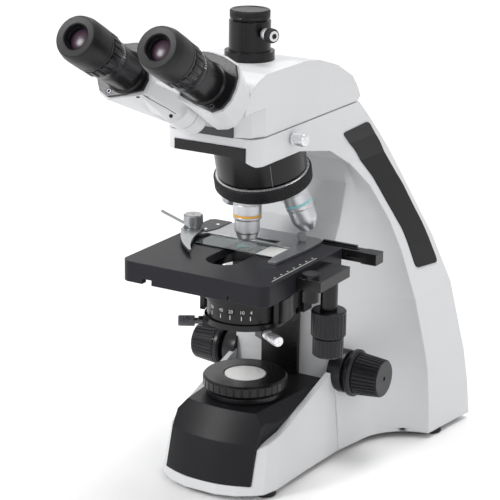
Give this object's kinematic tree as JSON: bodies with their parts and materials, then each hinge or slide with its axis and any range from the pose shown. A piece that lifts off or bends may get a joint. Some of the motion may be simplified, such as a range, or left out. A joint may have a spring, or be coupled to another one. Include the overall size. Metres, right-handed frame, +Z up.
{
  "type": "compound microscope",
  "caption": "Upright laboratory microscope: wide curved stand, inclined binocular head with camera tube, tilted nosepiece, moving stage, condenser and lit base.",
  "frame": {"origin": "foot of the optical axis on the table plane", "axes": "+Z up, +X to the operator's right, -Y towards the operator"},
  "size_m": [0.234, 0.4092, 0.4135],
  "materials": {
    "white_paint": "pale grey-white, satin, fine orange peel",
    "charcoal_plastic": "fine-grained charcoal",
    "grip_rubber": "soft black, fine stipple",
    "black_metal": "satin black",
    "dark_grey_metal": "satin dark grey",
    "black_plastic": "satin black",
    "satin_chrome": "satin, fine turned lines",
    "steel": "brushed",
    "glass_clear": "clear, teal tinge",
    "glass_coated": "purple anti-reflection coating",
    "glass_frosted": "frosted, lit from below",
    "eyecup_rubber": "satin black",
    "foot_rubber": "black",
    "steel_plate": "grey"
  },
  "bodies": {
    "stand": {"arm": "white_paint", "base_shell": "white_paint", "base_cover": "charcoal_plastic", "bottom_plate": "dark_grey_metal", "feet": "foot_rubber", "rear_panel": "charcoal_plastic", "power_inlet": "black_plastic", "panel_screws": "steel", "hand_grips": "grip_rubber", "guide_rail": "black_metal", "led_module": "steel", "lamp_barrel": "black_metal", "field_lens": "glass_frosted", "nosepiece_mount": "black_metal"},
    "field_ring_body": {"field_ring": "black_metal"},
    "dial_body": {"brightness_dial": "black_plastic"},
    "switch_body": {"power_switch": "black_plastic"},
    "lock_body": {"head_lock_screw": "steel"},
    "nosepiece": {"turret": "black_metal", "objective_4x": "satin_chrome", "objective_10x": "satin_chrome", "objective_40x": "satin_chrome", "objective_100x": "satin_chrome"},
    "head": {"head_body": "white_paint", "head_plate": "steel_plate", "beam_prism": "glass_clear", "phototube": "black_metal", "phototube_cap": "black_plastic"},
    "photo_screw_body": {"phototube_screw": "black_metal"},
    "binocular_right": {"housing_right": "white_paint", "eye_tube_right": "black_metal"},
    "binocular_left": {"housing_left": "white_paint", "eye_tube_left": "black_metal"},
    "ocular_right": {"eyepiece_right": "black_plastic", "eyecup_right": "eyecup_rubber", "eye_lens_right": "glass_coated"},
    "ocular_left": {"eyepiece_left": "black_plastic", "eyecup_left": "eyecup_rubber", "eye_lens_left": "glass_coated"},
    "coarse_drive": {"coarse_knob_right": "black_plastic", "coarse_knob_left": "black_plastic"},
    "fine_drive": {"fine_knob_right": "black_plastic", "fine_knob_left": "black_plastic"},
    "carrier": {"focus_carrier": "black_metal", "stage_base": "black_metal"},
    "stage": {"stage_top": "dark_grey_metal", "x_rail": "black_metal", "drive_housing": "black_metal"},
    "y_knob_body": {"y_drive_knob": "black_plastic"},
    "x_knob_body": {"x_drive_knob": "black_plastic"},
    "holder": {"slide_holder": "steel", "specimen_slide": "glass_clear"},
    "holder_knob_body": {"holder_knob": "steel"},
    "finger_body": {"slide_finger": "steel"},
    "condenser_unit": {"condenser_mount": "black_metal", "condenser": "black_metal"},
    "iris_body": {"iris_ring": "black_metal"},
    "centring_right_body": {"centring_screw_right": "steel"},
    "centring_left_body": {"centring_screw_left": "steel"},
    "condenser_knob_body": {"condenser_knob": "black_plastic"}
  },
  "joints": [
    {"name": "field_ring_turn", "type": "hinge", "parent": "stand", "child": "field_ring_body", "pos_m": [0, 0, 0.08], "axis": [0, 0, 1], "range_deg": [-60, 30]},
    {"name": "brightness_turn", "type": "hinge", "parent": "stand", "child": "dial_body", "pos_m": [-0.06, 0.01, 0.036], "axis": [-1, 0, 0], "range_deg": [0, 270]},
    {"name": "power_rock", "type": "hinge", "parent": "stand", "child": "switch_body", "pos_m": [0.021, 0.2015, 0.04], "axis": [1, 0, 0], "range_deg": [0, 8]},
    {"name": "head_lock_turn", "type": "hinge", "parent": "stand", "child": "lock_body", "pos_m": [0.05, -0.005, 0.298], "axis": [1, 0, 0], "range_deg": [-180, 540]},
    {"name": "nosepiece_turn", "type": "hinge", "parent": "stand", "child": "nosepiece", "pos_m": [0, 0.02608, 0.24969], "axis": [0, 0.2588, -0.9659], "continuous": true},
    {"name": "head_turn", "type": "hinge", "parent": "stand", "child": "head", "pos_m": [0, 0, 0.3], "axis": [0, 0, 1], "continuous": true},
    {"name": "photo_screw_turn", "type": "hinge", "parent": "head", "child": "photo_screw_body", "pos_m": [0.01813, -0.00845, 0.3805], "axis": [0.9063, -0.4226, 0], "range_deg": [-180, 540]},
    {"name": "binocular_right_fold", "type": "hinge", "parent": "head", "child": "binocular_right", "pos_m": [0, -0.11172, 0.33851], "axis": [0, -0.866, 0.5], "range_deg": [-9.7, 24.6]},
    {"name": "binocular_left_fold", "type": "hinge", "parent": "head", "child": "binocular_left", "pos_m": [0, -0.11172, 0.33851], "axis": [0, -0.866, 0.5], "range_deg": [-24.6, 9.7]},
    {"name": "dioptre_right_turn", "type": "hinge", "parent": "binocular_right", "child": "ocular_right", "pos_m": [0.0355, -0.15618, 0.3815], "axis": [0, -0.866, 0.5], "range_deg": [-120, 120]},
    {"name": "dioptre_left_turn", "type": "hinge", "parent": "binocular_left", "child": "ocular_left", "pos_m": [-0.0355, -0.15618, 0.3815], "axis": [0, -0.866, 0.5], "range_deg": [-120, 120]},
    {"name": "focus_travel", "type": "slide", "parent": "stand", "child": "carrier", "axis": [0, 0, 1], "range_m": [-0.018, 0.0006]},
    {"name": "coarse_turn", "type": "hinge", "parent": "stand", "child": "coarse_drive", "pos_m": [0, 0.077, 0.075], "axis": [1, 0, 0], "range_deg": [-7, 180]},
    {"name": "fine_turn", "type": "hinge", "parent": "stand", "child": "fine_drive", "pos_m": [0, 0.077, 0.075], "axis": [1, 0, 0], "range_deg": [-360, 360]},
    {"name": "stage_y_travel", "type": "slide", "parent": "carrier", "child": "stage", "axis": [0, 1, 0], "range_m": [-0.04, 0.006]},
    {"name": "stage_x_travel", "type": "slide", "parent": "stage", "child": "holder", "axis": [1, 0, 0], "range_m": [-0.03, 0.008]},
    {"name": "y_knob_turn", "type": "hinge", "parent": "stage", "child": "y_knob_body", "pos_m": [0.076, 0.005, 0.143], "axis": [0, 0, 1], "range_deg": [-460, 70]},
    {"name": "x_knob_turn", "type": "hinge", "parent": "stage", "child": "x_knob_body", "pos_m": [0.076, 0.005, 0.12], "axis": [0, 0, 1], "range_deg": [-100, 350]},
    {"name": "holder_knob_turn", "type": "hinge", "parent": "holder", "child": "holder_knob_body", "pos_m": [0.032, 0.036, 0.203], "axis": [0, 0, 1], "range_deg": [-90, 720]},
    {"name": "finger_swing", "type": "hinge", "parent": "holder", "child": "finger_body", "pos_m": [-0.064, 0.018, 0.205], "axis": [0, 0, 1], "range_deg": [-30, 0], "stiffness_Nm_per_rad": 0.05, "springref_deg": 20.05},
    {"name": "condenser_travel", "type": "slide", "parent": "carrier", "child": "condenser_unit", "axis": [0, 0, 1], "range_m": [-0.012, 0.003]},
    {"name": "condenser_knob_turn", "type": "hinge", "parent": "condenser_unit", "child": "condenser_knob_body", "pos_m": [-0.048, 0.044, 0.134], "axis": [1, 0, 0], "range_deg": [-40, 150]},
    {"name": "iris_turn", "type": "hinge", "parent": "condenser_unit", "child": "iris_body", "pos_m": [0, 0, 0.148], "axis": [0, 0, 1], "range_deg": [-60, 60]},
    {"name": "centring_right_turn", "type": "hinge", "parent": "condenser_unit", "child": "centring_right_body", "pos_m": [0.03429, -0.0206, 0.1325], "axis": [0.8572, -0.515, 0], "range_deg": [-360, 360]},
    {"name": "centring_left_turn", "type": "hinge", "parent": "condenser_unit", "child": "centring_left_body", "pos_m": [-0.03429, -0.0206, 0.1325], "axis": [-0.8572, -0.515, 0], "range_deg": [-360, 360]}
  ],
  "couplings": [
    {"joint": "binocular_left_fold", "follows": "binocular_right_fold", "ratio": -1},
    {"joint": "coarse_turn", "follows": "focus_travel", "rad_per_m": -166.67},
    {"joint": "y_knob_turn", "follows": "stage_y_travel", "rad_per_m": 200},
    {"joint": "x_knob_turn", "follows": "stage_x_travel", "rad_per_m": -200},
    {"joint": "condenser_knob_turn", "follows": "condenser_travel", "rad_per_m": -200}
  ]
}
